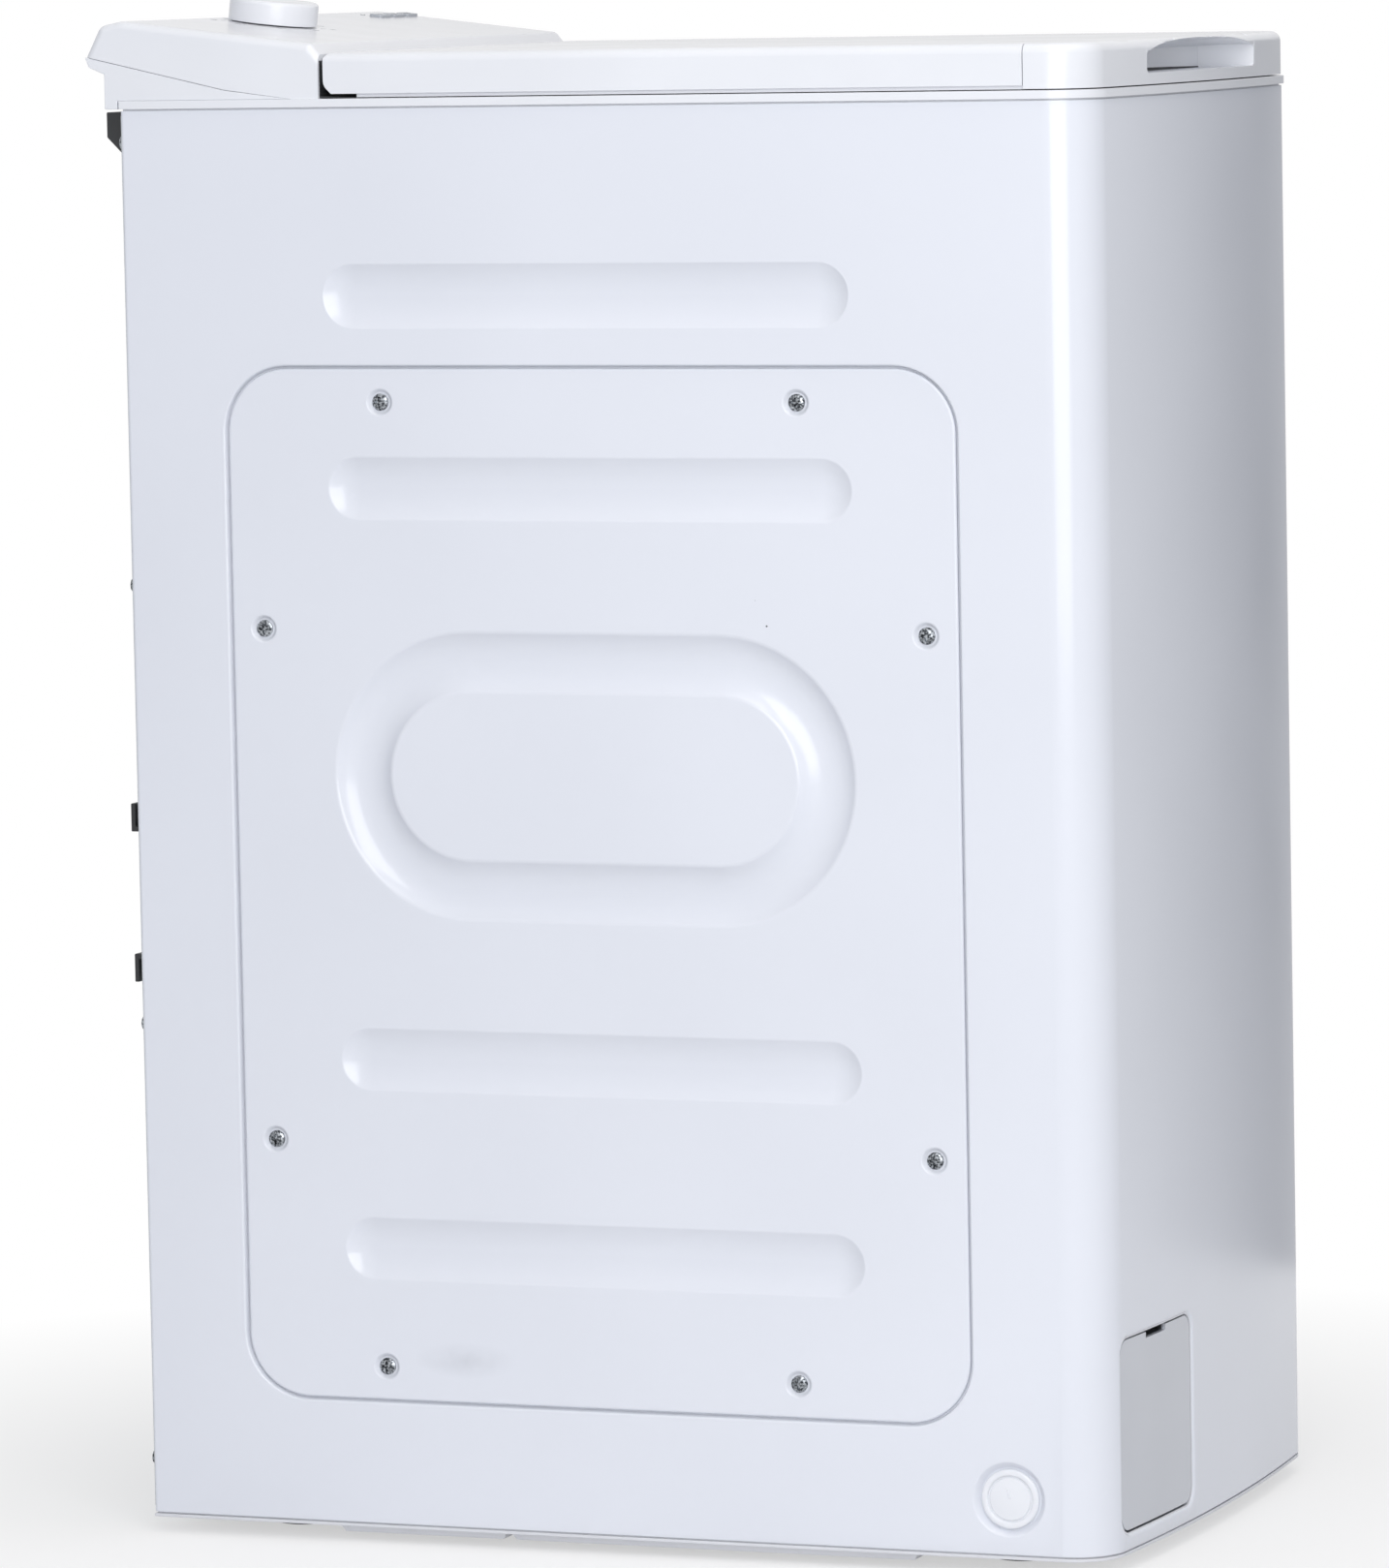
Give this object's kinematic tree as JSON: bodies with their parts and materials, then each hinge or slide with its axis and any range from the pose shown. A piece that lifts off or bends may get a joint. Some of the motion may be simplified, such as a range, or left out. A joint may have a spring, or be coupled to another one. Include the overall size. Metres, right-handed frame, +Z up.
{
  "type": "top-loading clothes dryer",
  "caption": "Narrow free-standing top-loading clothes dryer with a hinged lid, rear console with a dial and keys, transverse drum with a sliding door, belt drive and a front service hatch.",
  "frame": {"origin": "middle of the outline on the floor, under the feet", "axes": "+Z up, the front with the hatch faces -Y, the drum axis lies along X"},
  "size_m": [0.4, 0.637, 0.9224],
  "materials": {
    "white_enamel": "semi-gloss stoved enamel",
    "galvanised_sheet": "zinc-coated",
    "dark_screw_steel": "blackened",
    "white_plastic": "satin moulding",
    "pale_grey_plastic": "fine texture",
    "grey_key_plastic": "satin",
    "clear_lens": "polished",
    "black_plastic": "fine texture",
    "circuit_board": "solder mask",
    "seal_rubber": "matt",
    "stainless_steel": "rolled",
    "lifter_plastic": "moulded",
    "bright_steel": "turned",
    "cast_aluminium": "as cast",
    "felt": "wool felt",
    "motor_paint": "dipped"
  },
  "bodies": {
    "cabinet": {"cabinet_wrap": "white_enamel", "service_cover": "white_enamel", "service_cover_screws": "dark_screw_steel", "side_plug": "white_plastic", "rear_panel": "galvanised_sheet", "rear_panel_screws": "dark_screw_steel", "rear_terminal_cover": "black_plastic", "rear_cable_hook": "black_plastic", "mains_gland": "black_plastic", "base_pan": "pale_grey_plastic", "top_frame": "pale_grey_plastic", "lid_seal": "seal_rubber", "loading_chute": "pale_grey_plastic", "lid_hinge_posts": "pale_grey_plastic", "console_base": "white_plastic", "console_fascia": "white_plastic", "indicator_lenses": "clear_lens", "control_board": "circuit_board", "selector_switch": "black_plastic", "left_bulkhead": "galvanised_sheet", "right_bulkhead": "galvanised_sheet", "cross_rails": "galvanised_sheet", "drum_bearings": "bright_steel", "drum_felt_seals": "felt", "drive_belt": "seal_rubber", "motor_housing": "motor_paint", "motor_bracket": "galvanised_sheet", "fan_housing": "black_plastic", "heater": "bright_steel", "air_inlet_duct": "black_plastic", "air_return_duct": "black_plastic", "lint_filter": "lifter_plastic", "condenser": "cast_aluminium", "filter_bezel": "pale_grey_plastic", "condensate_pump": "black_plastic"},
    "lid": {"lid_panel": "white_plastic", "lid_handle_cap": "white_plastic", "lid_liner": "pale_grey_plastic", "lid_hinge_pins": "bright_steel"},
    "knob": {"program_knob": "white_plastic"},
    "button_1": {"option_button_1": "grey_key_plastic"},
    "button_2": {"option_button_2": "grey_key_plastic"},
    "button_start": {"start_button": "grey_key_plastic"},
    "drum": {"drum_shell": "stainless_steel", "drum_left_end": "stainless_steel", "drum_right_end": "stainless_steel", "drum_lifters": "lifter_plastic", "drum_shafts": "bright_steel", "drum_pulley": "cast_aluminium", "shutter_rails": "stainless_steel"},
    "shutter": {"drum_shutter": "stainless_steel"},
    "rotor": {"motor_shaft": "bright_steel", "motor_pulley": "bright_steel", "fan_impeller": "black_plastic"},
    "hatch": {"front_hatch": "white_plastic"},
    "filter_cap": {"pump_filter_cap": "pale_grey_plastic"},
    "foot_1": {"foot_front_left": "seal_rubber"},
    "foot_2": {"foot_front_right": "seal_rubber"},
    "foot_3": {"foot_rear_left": "seal_rubber"},
    "foot_4": {"foot_rear_right": "seal_rubber"}
  },
  "joints": [
    {"name": "lid_hinge", "type": "hinge", "parent": "cabinet", "child": "lid", "pos_m": [0, 0.153, 0.878], "axis": [-1, 0, 0], "range_deg": [0, 95]},
    {"name": "knob_turn", "type": "hinge", "parent": "cabinet", "child": "knob", "pos_m": [-0.056, 0.25837, 0.90474], "axis": [0, -0.1201, 0.9928], "continuous": true},
    {"name": "button_1_press", "type": "slide", "parent": "cabinet", "child": "button_1", "axis": [0, 0.1201, -0.9928], "range_m": [0, 0.0012], "stiffness_N_per_m": 800, "springref_m": -0.0006},
    {"name": "button_2_press", "type": "slide", "parent": "cabinet", "child": "button_2", "axis": [0, 0.1201, -0.9928], "range_m": [0, 0.0012], "stiffness_N_per_m": 800, "springref_m": -0.0006},
    {"name": "button_start_press", "type": "slide", "parent": "cabinet", "child": "button_start", "axis": [0, 0.1201, -0.9928], "range_m": [0, 0.0012], "stiffness_N_per_m": 800, "springref_m": -0.0006},
    {"name": "drum_spin", "type": "hinge", "parent": "cabinet", "child": "drum", "pos_m": [0, 0.003, 0.462], "axis": [1, 0, 0], "continuous": true},
    {"name": "shutter_slide", "type": "hinge", "parent": "drum", "child": "shutter", "pos_m": [0, 0.003, 0.462], "axis": [-1, 0, 0], "range_deg": [0, 68]},
    {"name": "motor_spin", "type": "hinge", "parent": "cabinet", "child": "rotor", "pos_m": [0, 0.13, 0.125], "axis": [1, 0, 0], "continuous": true},
    {"name": "hatch_hinge", "type": "hinge", "parent": "cabinet", "child": "hatch", "pos_m": [-0.11527, -0.30963, 0.036], "axis": [0.9985, -0.055, 0], "range_deg": [0, 80]},
    {"name": "filter_cap_turn", "type": "hinge", "parent": "cabinet", "child": "filter_cap", "pos_m": [-0.1155, -0.31382, 0.08], "axis": [-0.055, -0.9985, 0], "range_deg": [0, 90]},
    {"name": "foot_1_turn", "type": "hinge", "parent": "cabinet", "child": "foot_1", "pos_m": [-0.13, -0.235, 0], "axis": [0, 0, 1], "continuous": true},
    {"name": "foot_2_turn", "type": "hinge", "parent": "cabinet", "child": "foot_2", "pos_m": [0.13, -0.235, 0], "axis": [0, 0, 1], "continuous": true},
    {"name": "foot_3_turn", "type": "hinge", "parent": "cabinet", "child": "foot_3", "pos_m": [-0.13, 0.225, 0], "axis": [0, 0, 1], "continuous": true},
    {"name": "foot_4_turn", "type": "hinge", "parent": "cabinet", "child": "foot_4", "pos_m": [0.13, 0.225, 0], "axis": [0, 0, 1], "continuous": true}
  ],
  "couplings": [
    {"joint": "motor_spin", "follows": "drum_spin", "ratio": 6.4}
  ]
}
